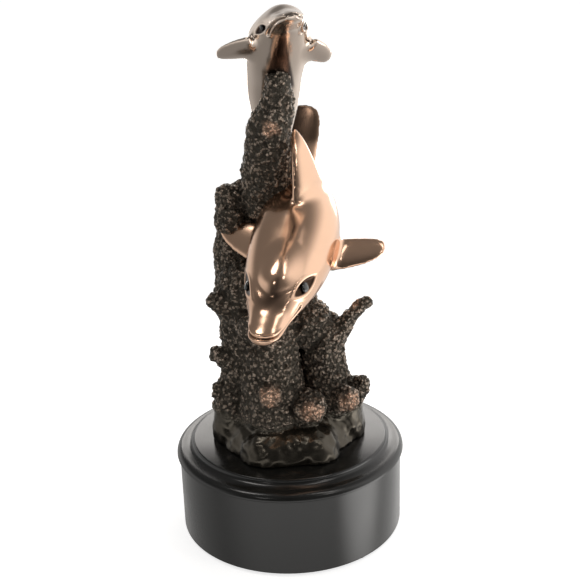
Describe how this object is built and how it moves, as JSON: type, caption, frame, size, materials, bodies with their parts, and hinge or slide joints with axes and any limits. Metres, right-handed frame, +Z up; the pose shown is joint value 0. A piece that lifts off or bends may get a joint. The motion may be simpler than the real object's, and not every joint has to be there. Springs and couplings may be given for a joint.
{
  "type": "bronze dolphin trophy",
  "caption": "Trophy sculpture of dolphins leaping over a column of coral, fixed on a round turned plinth; it stands on a shelf or desk.",
  "frame": {"origin": "on the plinth's axis, in the plane that the feet stand on", "axes": "+Z up along the plinth's axis; -Y is the front, where the beaks point; +X is to the right seen from the front"},
  "size_m": [0.127, 0.17, 0.2865],
  "materials": {
    "black_lacquer": "black satin lacquer on turned wood",
    "polished_bronze": "warm polished bronze on the dolphins, dark patina on the coral",
    "black_rubber": "matte rubber foot pads"
  },
  "bodies": {
    "root": {"plinth": "black_lacquer", "dolphin_casting": "polished_bronze", "foot_1": "black_rubber", "foot_2": "black_rubber", "foot_3": "black_rubber"}
  },
  "joints": []
}
